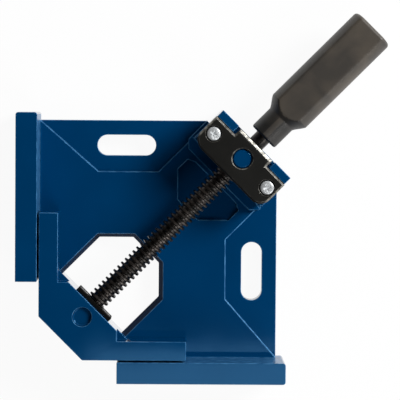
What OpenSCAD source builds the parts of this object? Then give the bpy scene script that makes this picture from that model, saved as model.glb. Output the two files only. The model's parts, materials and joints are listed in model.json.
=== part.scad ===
// Corner clamp: a die-cast base with two fences at a right angle, a swinging jaw that a screw
// drives along the diagonal, and a swivelling nut under a cover plate. Millimetres.
// The origin is the corner of the work at bench level: the fence faces lie on X = 0 and Y = 0,
// Z is up, and the screw runs along the diagonal, at U from the corner and V to its left.

/* [Bed] */
// Length of each side of the bed, from the corner of the work
bed_side = 134; // [130:1:145]
// Height of the bed above the bench
bed_h = 12; // [11:0.5:14]
// Thickness of the deck over the ribs
deck_t = 5; // [4:0.5:6]
// Thickness of the skirt, the ribs and the walls round the openings
wall_t = 4; // [3:0.5:4.5]
// Number of ribs under the deck each way
rib_count = 3; // [2:1:4]
// Drop of the mounting lands below the bed
land_drop = 1.5; // [1:0.25:2]
// Near end of the long edge of a land, along the fence
land_near = 33; // [28:1:40]
// Far end of the long edge of a land, along the fence
land_far = 67; // [60:1:70]
// Depth of a land, from the outer edge of the bed
land_depth = 29; // [26:0.5:32]

/* [Fences] */
// Thickness of each fence
fence_t = 12; // [10:0.5:15]
// Height of the fences above the bench
fence_h = 42; // [38:1:50]
// Distance of each fence's near end from the corner
fence_start = 44.5; // [42:0.5:50]
// How far each fence runs past the bed
fence_overhang = 4.5; // [2:0.5:14]
// Wall round the hollow under each fence
fence_wall = 3.5; // [3:0.25:4]
// Height of the hollow under each fence
fence_hollow_h = 24; // [15:1:32]
// Radius of the corners at each fence's far end
fence_corner_r = 1.5; // [0.5:0.1:3]

/* [Window] */
// Half width of the window across the diagonal, at the top
window_half_w = 26.3; // [24:0.1:28]
// Distance along the diagonal at which the window starts to narrow
window_taper_u = 72.5; // [70:0.5:76]
// Length over which it narrows at 45 degrees
window_taper_len = 15; // [10:0.5:20]
// How far the window's wall leans in from top to bottom
window_draft = 2.5; // [1:0.25:3.5]

/* [Slots] */
// Length of each mounting slot, end to end
slot_len = 33; // [20:0.5:36]
// Width of each mounting slot
slot_w = 11.6; // [8:0.1:13]
// Distance of the slot's centre along its fence
slot_along = 49; // [46:0.5:54]
// Distance of the slot's centre from the outer edge of the bed
slot_edge = 14; // [12:0.5:16]

/* [Bracket] */
// Distance of the nut's pivot from the square corner of the bed, along the diagonal
pivot_inset = 29; // [26:0.25:32]
// How far past the nut's pivot the corner of the bed is cut off
bed_cut_reach = 1; // [0.5:0.25:4]
// How far the plinth under the bracket lies ahead of the nut's pivot
plinth_reach = 17.5; // [15:0.25:19]
// Ledge of the plinth beside the posts
plinth_ledge = 1.7; // [1:0.1:3]
// Corner cut at the front of the plinth
plinth_chamfer = 3.9; // [2:0.1:6]
// Height of the plinth above the bed
plinth_h = 4; // [2:0.5:5]
// How far the posts lie ahead of the nut's pivot
post_reach = 11; // [9.5:0.25:12]
// Distance from the nut's pivot to the back of the bracket
back_reach = 11.5; // [10.5:0.25:15]
// Width of each post
post_w = 12.3; // [11:0.1:15]
// Height of the cover plate's seat above the axis of the spindle
seat_rise = 11; // [9.5:0.25:13]
// Thickness of the two lugs behind the cover plate
lug_t = 5; // [3:0.25:6]
// Height of the lugs above the seat
lug_rise = 2.5; // [1:0.25:4.5]
// Depth of the six-sided pocket in front of the bracket
pocket_depth = 2; // [1:0.25:3]
// Length of the pocket along the diagonal
pocket_len = 22.2; // [18:0.1:26]
// Strip between the pocket and the plinth
pocket_gap = 2.5; // [1.5:0.1:4]
// Half width of the pocket
pocket_half_w = 20.4; // [16:0.1:22]
// Half width of the pocket's front edge
pocket_nose_half_w = 8.2; // [6:0.1:10]

/* [Cover plate] */
// Thickness of the cover plate
cover_t = 4.5; // [3.5:0.25:6]
// How far the cover plate reaches ahead of the nut's pivot
cover_reach = 12.5; // [11:0.25:14]
// How far the cover plate stands past the bracket at each end
cover_side = 0.3; // [0:0.1:1]
// How far the cover plate's middle tongue reaches behind the nut's pivot
tongue_reach = 10; // [8.5:0.25:11.5]
// Half width of that tongue
tongue_half_w = 12.5; // [10:0.1:13.5]
// Radius of the cover plate's two front corners
cover_corner_r = 7; // [4:0.5:8]
// Bevel along the top edges of the cover plate
cover_bevel = 1; // [0.5:0.25:1.5]
// How far the two cover screws lie ahead of the nut's pivot
screw_setback = 1.5; // [0:0.25:3]
// Distance of the cover screws from the inner sides of the posts
screw_inset = 6.8; // [5.5:0.1:7]
// Thread diameter of the cover screws
screw_d = 4; // [3.5:0.1:4.2]
// Head diameter of the cover screws
screw_head_d = 8; // [7:0.1:8.4]
// Head height of the cover screws
screw_head_h = 2.6; // [2:0.1:3]
// Length of the cover screws under the head
screw_len = 14; // [10:1:18]
// Diameter of the counterbores round the heads
counterbore_d = 9.2; // [8.8:0.1:10]
// Depth of the counterbores
counterbore_depth = 2.2; // [1.5:0.1:2.5]

/* [Nut] */
// Length of the nut along the screw
nut_len = 19; // [17:0.5:20]
// Width of the nut across the screw
nut_w = 25; // [22:0.5:26]
// Diameter of the nut's rounded corners about its pivot
nut_d = 27.2; // [25:0.1:29]
// Gap between the nut and each post
nut_side_gap = 0.6; // [0.4:0.05:1]
// Diameter of the upper trunnion, in the cover plate
trunnion_d = 10.8; // [9:0.1:12]
// Diameter of the lower trunnion, in the plinth
lower_trunnion_d = 12; // [10:0.5:14]
// Length of the lower trunnion
lower_trunnion_l = 8; // [5:0.5:10]

/* [Spindle] */
// Outside diameter of the thread
thread_d = 12; // [10:0.5:12.5]
// Pitch of the thread
pitch = 3; // [2.5:0.5:4]
// Diameter of the plain shank behind the thread
shank_d = 9.5; // [8:0.1:9.8]
// Depth of the shank in the handle
shank_depth = 48; // [30:1:60]
// Diameter of the journal in the jaw pivot
journal_d = 6; // [5:0.1:6.4]

/* [Handle] */
// Gap between the bracket and the handle in the closed position
handle_gap = 5.4; // [4:0.1:8]
// Length of the collar
collar_len = 13.9; // [11:0.1:16]
// Length of the shoulder between the collar and the grip
shoulder_len = 6.7; // [5:0.1:10]
// Length of the grip
grip_len = 65.7; // [45:0.1:80]
// Diameter of the collar
collar_d = 17.2; // [15:0.1:19]
// Diameter of the grip
grip_d = 26.1; // [24:0.1:30]
// Thickness of the grip over its two flats
grip_flats = 20; // [18:0.5:24]
// Rounding at the end of the grip
grip_round = 2.5; // [1:0.25:4]

/* [Jaw] */
// Gap between each arm of the jaw and its fence in the closed position
jaw_gap = 1.1; // [0.8:0.1:2]
// Thickness of the jaw's arms
arm_t = 10.6; // [8:0.1:12]
// Distance of the arms' tips from the corner
arm_tip = 83; // [75:1:88]
// Distance of the jaw's diagonal face from the corner
jaw_face_u = 44; // [42:0.1:50]
// Depth of the jaw from that face to its cut corner
jaw_depth = 25.3; // [24:0.1:27]
// Length of the two ledges beside the upper deck
ledge_len = 6; // [3:0.1:8]
// Drop of the two ledges beside the upper deck
ledge_drop = 12; // [6:1:16]
// Thickness of the upper deck over the hollow of the jaw
jaw_deck_t = 6; // [4:0.5:8]
// Wall round the hollow of the jaw
jaw_wall = 4; // [3:0.5:5]
// Distance of the jaw's pivot behind its diagonal face
pivot_setback = 8.3; // [8:0.1:9.5]
// Diameter of the jaw's pivot pin
jaw_pivot_d = 10.5; // [9.5:0.1:10.8]
// Depth of the pin's top end below the top of the jaw
pivot_recess = 1; // [0.5:0.1:2]
// Edge of the thrust plate outside its screws
plate_edge = 0.7; // [0.4:0.1:3]
// Height of the thrust plate
plate_h = 16; // [14:0.5:18]
// Thickness of the thrust plate
plate_t = 2; // [1.5:0.1:3]
// Thread diameter of the thrust plate's countersunk screws
plate_screw_d = 3; // [2.5:0.1:3.2]
// Land between those screws and the way of the spindle
plate_screw_gap = 0.7; // [0.4:0.1:2]

/* [Fits] */
// Radial clearance of the running fits
fit = 0.08; // [0.05:0.01:0.1]
// Gap between faces that slide past each other
slide_gap = 0.3; // [0.2:0.05:0.4]

/* [Hidden] */
// Overrun of cuts past the faces they go through
over = 1;
// Steepness of the diagonal in the plan
diagonal = 45;
// Facets of true round forms and of hulled corners
round_fn = 64;
hull_fn = 32;
// Side over diagonal of a square
root2 = sqrt(2);

// Nut and spindle: distance of the pivot from the corner, height of the axis at half the jaw's height
pivot_u = bed_side * root2 - pivot_inset;
spindle_h = (bed_h + fence_h) / 2;

// Bed: cut corner along the diagonal and along the fence, long edge of the lands, centre of the slots,
// far end of the fences and of the window, hollow below the deck, spacing of the ribs
bed_cut_u = pivot_u + bed_cut_reach;
bed_cut = bed_cut_u * root2 - bed_side;
land_out = bed_side - land_depth;
slot_out = bed_side - slot_edge;
fence_end = bed_side + fence_overhang;
window_far_u = window_taper_u + window_taper_len;
hollow_h = bed_h - deck_t;
rib_pitch = bed_side / (rib_count + 1);

// Bracket: chamber of the nut, posts, plinth, pocket, seat of the cover plate and lugs
chamber_half_w = nut_d / 2 + nut_side_gap;
bracket_half_w = chamber_half_w + post_w;
post_front_u = pivot_u - post_reach;
bracket_back_u = pivot_u + back_reach;
plinth_top = bed_h + plinth_h;
plinth_half_w = bracket_half_w + plinth_ledge;
plinth_front_u = pivot_u - plinth_reach;
pocket_back_u = plinth_front_u - pocket_gap;
pocket_front_u = pocket_back_u - pocket_len;
seat_h = spindle_h + seat_rise;
lug_h = seat_h + lug_rise;

// Cover plate: its back edge lies against the lugs, and its screws stand in the posts
cover_front_u = pivot_u - cover_reach;
cover_back_u = bracket_back_u - lug_t;
cover_half_len = bracket_half_w + cover_side;
cover_top = seat_h + cover_t;
tongue_u = pivot_u + tongue_reach;
screw_u = pivot_u - screw_setback;
screw_v = chamber_half_w + screw_inset;
screw_hole_d = screw_d + 2 * fit;
// Pan heads: share of the height that is straight, crown over head, width and length of the recess
pan_edge_share = 0.45;
pan_crown_share = 0.66;
recess_w_share = 0.14;
recess_l_share = 0.56;

// Nut: boss round its lower bearing, height of the block, end of the upper trunnion
nut_boss_d = lower_trunnion_d + 2 * wall_t;
nut_z = plinth_top + slide_gap;
nut_h = seat_h - slide_gap - nut_z;
trunnion_chamfer = 0.7;
trunnion_drop = 1.2;

// Jaw: cut corner, pivot, inner side of the arms, X plus Y on the diagonal face, end of the deck
arm_inner = jaw_gap + arm_t;
jaw_corner = (jaw_face_u - jaw_depth) * root2 - jaw_gap;
jaw_pivot_u = jaw_face_u - pivot_setback;
jaw_face_sum = jaw_face_u * root2;
deck_end = jaw_face_sum - arm_inner - ledge_len;

// Spindle: ends of the thread, clip in its groove, inner end of the journal, chamfer of its ends
thread_start_u = jaw_face_u + plate_t + slide_gap;
thread_end_u = pivot_u + nut_len / 2 + pitch / 2;
clip_t = 1;
clip_rim = 1.8;
clip_d = journal_d + 2 * clip_rim;
clip_groove_d = journal_d - clip_t;
clip_u = jaw_pivot_u - jaw_pivot_d / 2 - slide_gap - clip_t;
journal_end_u = clip_u - 2 * clip_t;
spindle_chamfer = 0.6;
// Half width and half height of the chamber round the clip
clip_way = clip_d / 2 + clip_t;

// Handle: start and end of the collar, ends of the grip, chamfer at the mouth
collar_start_u = bracket_back_u + handle_gap;
collar_end_u = collar_start_u + collar_len;
grip_start_u = collar_end_u + shoulder_len;
grip_end_u = grip_start_u + grip_len;
collar_chamfer = 0.6;

// Jaw: heights, way for the journal, screws and length of the thrust plate
jaw_z = bed_h + slide_gap;
jaw_h = fence_h - jaw_z;
jaw_slot_play = 2;
jaw_slot_half_w = journal_d / 2 + jaw_slot_play;
jaw_slot_half_h = journal_d / 2 + jaw_slot_play / 2;
plate_screw_v = jaw_slot_half_w + plate_screw_d + plate_screw_gap;
plate_len = 2 * (plate_screw_v + plate_screw_d + plate_edge);
plate_screw_hole_d = plate_screw_d + 2 * fit;
plate_screw_len = 5.5;
// Share of the plate's thickness that the countersinks take
sink_share = 0.6;

function uv(u, v) = [(u - v) / root2, (u + v) / root2];
function swapped(p) = [p[1], p[0]];
function both(points) = concat(points, [for (i = [len(points) - 1:-1:0]) swapped(points[i])]);

// Places a child drawn along X onto the diagonal
module on_diagonal() {
    rotate([0, 0, diagonal]) children();
}

// Lays a turned form, drawn along Z, onto the axis of the spindle
module along_spindle(u) {
    on_diagonal() translate([u, 0, spindle_h]) rotate([0, 90, 0]) children();
}

// A form and its mirror image across the diagonal
module both_sides() {
    children();
    mirror([1, -1, 0]) children();
}

// Window outline in U and V, moved out by a distance
function window_points(out) = let (taper = out * (root2 - 1)) [
    [0, window_half_w + out], [window_taper_u + taper, window_half_w + out],
    [window_far_u + out, window_half_w - window_far_u + window_taper_u + taper],
    [window_far_u + out, -window_half_w + window_far_u - window_taper_u - taper],
    [window_taper_u + taper, -window_half_w - out], [0, -window_half_w - out]];

module window_cut() {
    lean = window_draft * over / bed_h;
    on_diagonal() hull() {
        translate([0, 0, bed_h + over]) linear_extrude(over) polygon(window_points(lean));
        translate([0, 0, -over]) linear_extrude(over) polygon(window_points(-window_draft - lean));
    }
}

module slot_form(length, width, height) {
    run = length - width;
    translate([slot_along, slot_out, 0]) {
        translate([-run / 2, -width / 2, 0]) cube([run, width, height]);
        for (side = [-1, 1]) translate([side * run / 2, 0, 0]) cylinder(d = width, h = height, $fn = round_fn);
    }
}

module bed() {
    difference() {
        linear_extrude(bed_h) polygon(concat([[fence_start, fence_start]],
            both([[0, fence_start], [0, bed_side], [bed_cut, bed_side]])));
        translate([0, 0, bed_h - land_drop]) linear_extrude(land_drop + over) for (side = [0, 1])
            mirror(side * [1, -1]) polygon([[0, bed_side], [land_near, land_out], [land_far, land_out],
                [land_far + bed_side - land_out + over, bed_side + over], [-over, bed_side + over]]);
    }
}

// Fence along Y, with its two far corners rounded
module fence() {
    length = fence_end - fence_start;
    translate([-fence_t, fence_start, 0]) cube([fence_t, length - fence_corner_r, fence_h]);
    translate([fence_corner_r - fence_t, fence_start, 0]) cube([fence_t - 2 * fence_corner_r, length, fence_h]);
    for (x = [fence_corner_r - fence_t, -fence_corner_r]) translate([x, fence_end - fence_corner_r, 0])
        cylinder(r = fence_corner_r, h = fence_h, $fn = round_fn);
}

module fence_hollow() {
    length = fence_end - fence_start - 2 * fence_wall;
    cell = (length - rib_count * fence_wall) / (rib_count + 1);
    for (i = [0:rib_count])
        translate([fence_wall - fence_t, fence_start + fence_wall + i * (cell + fence_wall), -over])
            cube([fence_t - 2 * fence_wall, cell, fence_hollow_h + over]);
}

module bracket() {
    on_diagonal() {
        linear_extrude(plinth_top) polygon([[plinth_front_u, plinth_half_w - plinth_chamfer],
            [plinth_front_u + plinth_chamfer, plinth_half_w], [bed_cut_u, plinth_half_w],
            [bed_cut_u, -plinth_half_w], [plinth_front_u + plinth_chamfer, -plinth_half_w],
            [plinth_front_u, plinth_chamfer - plinth_half_w]]);
        translate([post_front_u, -bracket_half_w, 0])
            cube([bracket_back_u - post_front_u, 2 * bracket_half_w, plinth_top]);
        for (side = [0, 1]) mirror([0, side, 0]) {
            translate([post_front_u, chamber_half_w, 0])
                cube([bracket_back_u - post_front_u, bracket_half_w - chamber_half_w, seat_h]);
            translate([bracket_back_u - lug_t + slide_gap, chamber_half_w, 0])
                cube([lug_t - slide_gap, bracket_half_w - chamber_half_w, lug_h]);
        }
    }
}

module pocket() {
    nose = pocket_half_w - pocket_nose_half_w;
    corner = nose / 6;
    on_diagonal() translate([0, 0, bed_h - pocket_depth]) linear_extrude(pocket_depth + over)
        polygon([for (side = [1, -1]) each [for (i = [0:3]) let (k = side > 0 ? i : 3 - i) [
            [pocket_front_u, pocket_front_u + nose, pocket_back_u - corner, pocket_back_u][k],
            side * [pocket_nose_half_w, pocket_half_w, pocket_half_w, pocket_half_w - 2 * corner][k]]]]);
}

// Hollow under the bed and the bracket, with its ribs left standing
module underside() {
    inner_cut = (bed_cut_u - wall_t) * root2 - bed_side + wall_t;
    difference() {
        translate([0, 0, -over]) linear_extrude(hollow_h + over)
            polygon(concat([[fence_start + wall_t, fence_start + wall_t]],
                both([[wall_t, fence_start + wall_t], [wall_t, bed_side - wall_t], [inner_cut, bed_side - wall_t],
                    uv(bed_cut_u - wall_t, bracket_half_w - wall_t),
                    uv(bracket_back_u - wall_t, bracket_half_w - wall_t)])));
        both_sides() {
            for (i = [1:rib_count]) translate([i * rib_pitch - wall_t / 2, 0, -2 * over])
                cube([wall_t, bed_side, bed_h]);
            translate([0, 0, -2 * over]) slot_form(slot_len + 2 * wall_t, slot_w + 2 * wall_t, bed_h);
        }
        on_diagonal() {
            translate([0, 0, -2 * over]) linear_extrude(bed_h) polygon(window_points(wall_t - window_draft / 2));
            translate([pivot_u, 0, -2 * over]) cylinder(d = nut_boss_d, h = bed_h, $fn = round_fn);
        }
    }
}

// Die-cast base with its bed, two fences and the bracket of the nut
module base_casting() {
    color("#0b3a66") difference() {
        union() {
            bed();
            both_sides() fence();
            bracket();
        }
        window_cut();
        both_sides() {
            translate([0, 0, -over]) slot_form(slot_len, slot_w, bed_h + 2 * over);
            fence_hollow();
        }
        pocket();
        underside();
        on_diagonal() {
            translate([pivot_u, 0, nut_z - slide_gap - lower_trunnion_l])
                cylinder(d = lower_trunnion_d + 2 * fit, h = lower_trunnion_l + over, $fn = round_fn);
            for (side = [-1, 1]) translate([screw_u, side * screw_v, seat_h - screw_len])
                cylinder(d = screw_hole_d, h = screw_len + over, $fn = round_fn);
        }
    }
}

// Main field of the cover plate, drawn in by a distance
module cover_field(inset, height) {
    corner_u = cover_front_u + cover_corner_r;
    corner_v = cover_half_len - cover_corner_r;
    for (side = [-1, 1]) translate([corner_u, side * corner_v, 0])
        cylinder(r = cover_corner_r - inset, h = height, $fn = hull_fn);
    translate([cover_back_u - cover_bevel - inset, inset - cover_half_len, 0])
        cube([cover_bevel, 2 * (cover_half_len - inset), height]);
}

module cover_tongue(inset, height) {
    translate([cover_front_u + inset, inset - tongue_half_w, 0])
        cube([tongue_u - cover_front_u - 2 * inset, 2 * (tongue_half_w - inset), height]);
}

// Black plate that holds the nut down, with bevelled top edges
module cover_plate() {
    color("#1c1b17") on_diagonal() difference() {
        translate([0, 0, seat_h]) {
            hull() {
                cover_field(0, cover_t - cover_bevel);
                cover_field(cover_bevel, cover_t);
            }
            hull() {
                cover_tongue(0, cover_t - cover_bevel);
                cover_tongue(cover_bevel, cover_t);
            }
        }
        translate([pivot_u, 0, seat_h - over])
            cylinder(d = trunnion_d + 2 * fit, h = cover_t + 2 * over, $fn = round_fn);
        for (side = [-1, 1]) translate([screw_u, side * screw_v, seat_h - over]) {
            cylinder(d = screw_hole_d, h = cover_t + 2 * over, $fn = round_fn);
            translate([0, 0, cover_t + over - counterbore_depth])
                cylinder(d = counterbore_d, h = counterbore_depth + over, $fn = round_fn);
        }
    }
}

// Pan-head screw with a cross recess, its head seated at zero height
module pan_screw() {
    edge = screw_head_h * pan_edge_share;
    recess_w = screw_head_d * recess_w_share;
    recess_l = screw_head_d * recess_l_share;
    difference() {
        union() {
            translate([0, 0, -screw_len]) cylinder(d = screw_d, h = screw_len, $fn = round_fn);
            cylinder(d = screw_head_d, h = edge, $fn = round_fn);
            translate([0, 0, edge]) cylinder(d1 = screw_head_d, d2 = screw_head_d * pan_crown_share,
                h = screw_head_h - edge, $fn = round_fn);
        }
        for (turn = [0, 90]) rotate([0, 0, turn])
            translate([-recess_l / 2, -recess_w / 2, screw_head_h / 2]) cube([recess_l, recess_w, screw_head_h]);
    }
}

module cover_screws() {
    color("#c9ccd0") on_diagonal() for (side = [-1, 1])
        translate([screw_u, side * screw_v, cover_top - counterbore_depth]) pan_screw();
}

// Swivelling nut: a threaded block between two trunnions
module swivel_nut() {
    color("#0d4a7d") difference() {
        on_diagonal() translate([pivot_u, 0, 0]) {
            intersection() {
                translate([-nut_len / 2, -nut_w / 2, nut_z]) cube([nut_len, nut_w, nut_h]);
                translate([0, 0, nut_z]) cylinder(d = nut_d, h = nut_h, $fn = round_fn);
            }
            translate([0, 0, nut_z - lower_trunnion_l])
                cylinder(d = lower_trunnion_d, h = lower_trunnion_l, $fn = round_fn);
            translate([0, 0, nut_z + nut_h])
                cylinder(d = trunnion_d, h = cover_top - trunnion_drop - trunnion_chamfer - nut_z - nut_h,
                    $fn = round_fn);
            translate([0, 0, cover_top - trunnion_drop - trunnion_chamfer])
                cylinder(d1 = trunnion_d, d2 = trunnion_d - 2 * trunnion_chamfer, h = trunnion_chamfer,
                    $fn = round_fn);
        }
        along_spindle(pivot_u - nut_len) cylinder(d = thread_d + 2 * fit, h = 2 * nut_len, $fn = round_fn);
    }
}

// Pivot pin of the jaw, cross-drilled for the journal of the spindle
module jaw_pivot() {
    color("#0d4470") difference() {
        on_diagonal() translate([jaw_pivot_u, 0, jaw_z + slide_gap])
            cylinder(d = jaw_pivot_d, h = jaw_h - slide_gap - pivot_recess, $fn = round_fn);
        along_spindle(jaw_pivot_u - jaw_pivot_d)
            cylinder(d = journal_d + 2 * fit, h = 2 * jaw_pivot_d, $fn = round_fn);
    }
}

// Half outline of the spindle as [distance along it, radius]: journal with the clip's groove, thread, shank
function spindle_points() = [[journal_end_u, 0], [journal_end_u, journal_d / 2 - spindle_chamfer],
    [journal_end_u + spindle_chamfer, journal_d / 2], [clip_u, journal_d / 2], [clip_u, clip_groove_d / 2],
    [clip_u + clip_t, clip_groove_d / 2], [clip_u + clip_t, journal_d / 2], [thread_start_u, journal_d / 2],
    [thread_start_u, thread_d / 2 - spindle_chamfer], [thread_start_u + spindle_chamfer, thread_d / 2],
    [thread_end_u - spindle_chamfer, thread_d / 2], [thread_end_u, thread_d / 2 - spindle_chamfer],
    [thread_end_u, shank_d / 2], [collar_start_u + shank_depth, shank_d / 2], [collar_start_u + shank_depth, 0]];

// Turned spindle: the journal runs in the jaw's pivot pin, and its shoulder bears on the thrust plate
module spindle() {
    color("#2a2622") along_spindle(0) rotate_extrude($fn = round_fn)
        polygon([for (p = spindle_points()) swapped(p)]);
}

// Moulded handle: a turned form with two flats
module handle_grip() {
    shoulder_u = grip_start_u - collar_end_u;
    color("#4a4640") difference() {
        intersection() {
            along_spindle(collar_start_u) rotate_extrude($fn = round_fn) polygon([[0, 0],
                [collar_d / 2 - collar_chamfer, 0], [collar_d / 2, collar_chamfer],
                [collar_d / 2, collar_end_u - collar_start_u],
                [grip_d / 2, grip_start_u - collar_start_u],
                for (a = [0:15:90]) [grip_d / 2 - grip_round * (1 - cos(a)),
                    grip_end_u - collar_start_u - grip_round * (1 - sin(a))],
                [0, grip_end_u - collar_start_u]]);
            on_diagonal() translate([collar_start_u - over, -grip_d, spindle_h - grip_flats / 2])
                cube([grip_end_u - collar_start_u + 2 * over, 2 * grip_d, grip_flats]);
        }
        along_spindle(collar_start_u - over)
            cylinder(d = shank_d, h = shank_depth + over, $fn = round_fn);
    }
}

// Spring clip in the groove at the inner end of the spindle
module retaining_clip() {
    color("#33302c") along_spindle(clip_u) difference() {
        cylinder(d = clip_d, h = clip_t, $fn = round_fn);
        translate([0, 0, -over]) cylinder(d = clip_groove_d, h = clip_t + 2 * over, $fn = round_fn);
        translate([0, -clip_groove_d / 3, -over]) cube([clip_d, clip_groove_d * 2 / 3, clip_t + 2 * over]);
    }
}

// Upper outline of the jaw with its deck, and the full outline with the ledges
function jaw_deck_points() = both([[jaw_gap, jaw_corner], [jaw_gap, arm_tip], [arm_inner, arm_tip],
    [arm_inner, deck_end], [jaw_face_sum - deck_end, deck_end]]);
function jaw_full_points() = both([[jaw_gap, jaw_corner], [jaw_gap, arm_tip], [arm_inner, arm_tip],
    [arm_inner, jaw_face_sum - arm_inner]]);

// Hollow under the jaw, round the boss of the pivot pin
module jaw_hollow() {
    corner_u = (jaw_gap + jaw_corner) / root2 + jaw_wall;
    face_u = jaw_face_u - jaw_wall;
    boss = jaw_pivot_d + 2 * jaw_wall;
    reach = deck_end - jaw_wall;
    inner = jaw_gap + jaw_wall;
    difference() {
        translate([0, 0, jaw_z - over]) linear_extrude(jaw_h - jaw_deck_t + over)
            polygon(both([[inner, corner_u * root2 - inner], [inner, reach], [face_u * root2 - reach, reach]]));
        on_diagonal() {
            translate([jaw_pivot_u, 0, jaw_z - 2 * over]) cylinder(d = boss, h = jaw_h, $fn = round_fn);
            translate([jaw_pivot_u, -boss / 2, jaw_z - 2 * over])
                cube([jaw_face_u - jaw_pivot_u, boss, jaw_h]);
        }
    }
}

// L-shaped jaw with a pivot boss and a deck between its arms
module swing_jaw() {
    color("#0f4472") difference() {
        translate([0, 0, jaw_z]) {
            linear_extrude(jaw_h - ledge_drop) polygon(jaw_full_points());
            linear_extrude(jaw_h) polygon(jaw_deck_points());
        }
        jaw_hollow();
        on_diagonal() translate([jaw_pivot_u, 0, jaw_z - over])
            cylinder(d = jaw_pivot_d + 2 * fit, h = jaw_h + 2 * over, $fn = round_fn);
        on_diagonal() translate([journal_end_u - over, -jaw_slot_half_w, spindle_h - jaw_slot_half_h])
            cube([jaw_face_u - journal_end_u + 2 * over, 2 * jaw_slot_half_w, 2 * jaw_slot_half_h]);
        on_diagonal() translate([journal_end_u - over, -clip_way, spindle_h - clip_way])
            cube([clip_u + clip_t + slide_gap + over - journal_end_u, 2 * clip_way, 2 * clip_way]);
        for (side = [-1, 1]) along_spindle(jaw_face_u - plate_screw_len - over)
            translate([0, side * plate_screw_v, 0])
                cylinder(d = plate_screw_hole_d, h = plate_screw_len + 2 * over, $fn = round_fn);
    }
}

// Steel plate on the diagonal face, which takes the thrust of the spindle's shoulder
module thrust_plate() {
    color("#201e1b") difference() {
        on_diagonal() translate([jaw_face_u, -plate_len / 2, spindle_h - plate_h / 2])
            cube([plate_t, plate_len, plate_h]);
        along_spindle(jaw_face_u - over) {
            cylinder(r = jaw_slot_half_w, h = plate_t + 2 * over, $fn = round_fn);
            for (side = [-1, 1]) translate([0, side * plate_screw_v, 0]) {
                cylinder(d = plate_screw_hole_d, h = plate_t + 2 * over, $fn = round_fn);
                translate([0, 0, over + plate_t * (1 - sink_share)])
                    cylinder(d1 = plate_screw_d, d2 = 2 * plate_screw_d, h = plate_t * sink_share, $fn = round_fn);
                translate([0, 0, over + plate_t]) cylinder(d = 2 * plate_screw_d, h = over, $fn = round_fn);
            }
        }
    }
}

module thrust_screws() {
    color("#3a3835") for (side = [-1, 1]) along_spindle(jaw_face_u - plate_screw_len)
        translate([0, side * plate_screw_v, 0]) {
            cylinder(d = plate_screw_d, h = plate_screw_len + plate_t * (1 - sink_share), $fn = round_fn);
            translate([0, 0, plate_screw_len + plate_t * (1 - sink_share)])
                cylinder(d1 = plate_screw_d, d2 = 2 * plate_screw_d, h = plate_t * sink_share, $fn = round_fn);
        }
}

base_casting();
cover_plate();
cover_screws();
swivel_nut();
jaw_pivot();
spindle();
handle_grip();
retaining_clip();
swing_jaw();
thrust_plate();
thrust_screws();
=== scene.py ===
import json
import math

import bmesh
import bpy
from bpy.props import FloatProperty, FloatVectorProperty, IntProperty, PointerProperty
from bpy.types import NodeSocket, Operator, Panel, PropertyGroup
from mathutils import Matrix, Vector, geometry


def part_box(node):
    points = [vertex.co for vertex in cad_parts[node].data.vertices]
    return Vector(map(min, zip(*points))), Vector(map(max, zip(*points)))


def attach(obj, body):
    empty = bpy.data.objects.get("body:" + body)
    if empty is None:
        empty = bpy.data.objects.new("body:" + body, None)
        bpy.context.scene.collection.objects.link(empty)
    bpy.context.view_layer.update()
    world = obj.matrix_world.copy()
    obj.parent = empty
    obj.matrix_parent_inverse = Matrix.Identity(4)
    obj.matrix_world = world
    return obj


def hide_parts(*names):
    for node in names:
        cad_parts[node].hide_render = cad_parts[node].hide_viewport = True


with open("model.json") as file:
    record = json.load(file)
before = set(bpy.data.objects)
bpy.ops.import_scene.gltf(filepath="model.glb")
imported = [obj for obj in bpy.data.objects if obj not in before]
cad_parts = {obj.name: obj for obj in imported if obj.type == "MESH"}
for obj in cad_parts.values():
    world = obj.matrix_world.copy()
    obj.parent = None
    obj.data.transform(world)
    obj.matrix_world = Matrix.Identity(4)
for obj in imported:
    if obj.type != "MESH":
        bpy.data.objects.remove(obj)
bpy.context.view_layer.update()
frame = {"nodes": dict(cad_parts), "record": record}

bl_info = {
    "name": "Corner Clamp Finish",
    "version": (1, 0, 0),
    "blender": (4, 5, 0),
    "location": "3D View > Sidebar > Corner Clamp",
    "description": "Painted castings, screw, handle and fixings of a single-screw corner clamp",
    "category": "Object",
}

MM = 0.001
# The screw lies along the diagonal of the bed; a right-handed set of axes goes with it
ALONG = Vector((1, 1, 0)).normalized()
ACROSS = Vector((-1, 1, 0)).normalized()
UP = ALONG.cross(ACROSS)


# Measures taken from the frame

def middle_of(node):
    """Middle of a node's box."""
    low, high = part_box(node)
    return (low + high) / 2


def reach_of(node, side=0):
    """Nearest and farthest point of a node along the screw's axis, of one side of it or of both."""
    places = [v.co.dot(ALONG) for v in frame["nodes"][node].data.vertices if v.co.dot(ACROSS) * side >= 0]
    return min(places), max(places)


def half_of(node, side):
    """Middle, lowest and highest point of the half of a node on one side of the screw, +1 or -1."""
    points = [v.co for v in frame["nodes"][node].data.vertices if v.co.dot(ACROSS) * side > 0]
    low = Vector([min(p[i] for p in points) for i in range(3)])
    high = Vector([max(p[i] for p in points) for i in range(3)])
    return (low + high) / 2, low, high


AXIS_Z = middle_of("spindle").z


def upright(way):
    """A turn that lays the Z axis along a direction."""
    return way.to_track_quat("Z", "Y").to_matrix().to_4x4()


def on_screw(along, radius=0.0, turn=0.0):
    """A point at a distance along the screw, at a radius from its axis and an angle round it."""
    return (ALONG * along + ACROSS * (radius * math.cos(turn)) + UP * (radius * math.sin(turn))
            + Vector((0, 0, AXIS_Z)))


# Colours and sizes that a user would change

def linear(hex_colour):
    """Linear red, green, blue and alpha of an sRGB hex colour."""
    parts = [int(hex_colour[i:i + 2], 16) / 255 for i in (1, 3, 5)]
    return tuple(c / 12.92 if c <= 0.04045 else ((c + 0.055) / 1.055) ** 2.4 for c in parts) + (1.0,)


def colour(name, text, default):
    """A colour in the sidebar, written as sRGB hex."""
    return FloatVectorProperty(name=name, description=text, default=linear(default), size=4,
                               min=0, max=1, subtype="COLOR")


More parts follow.
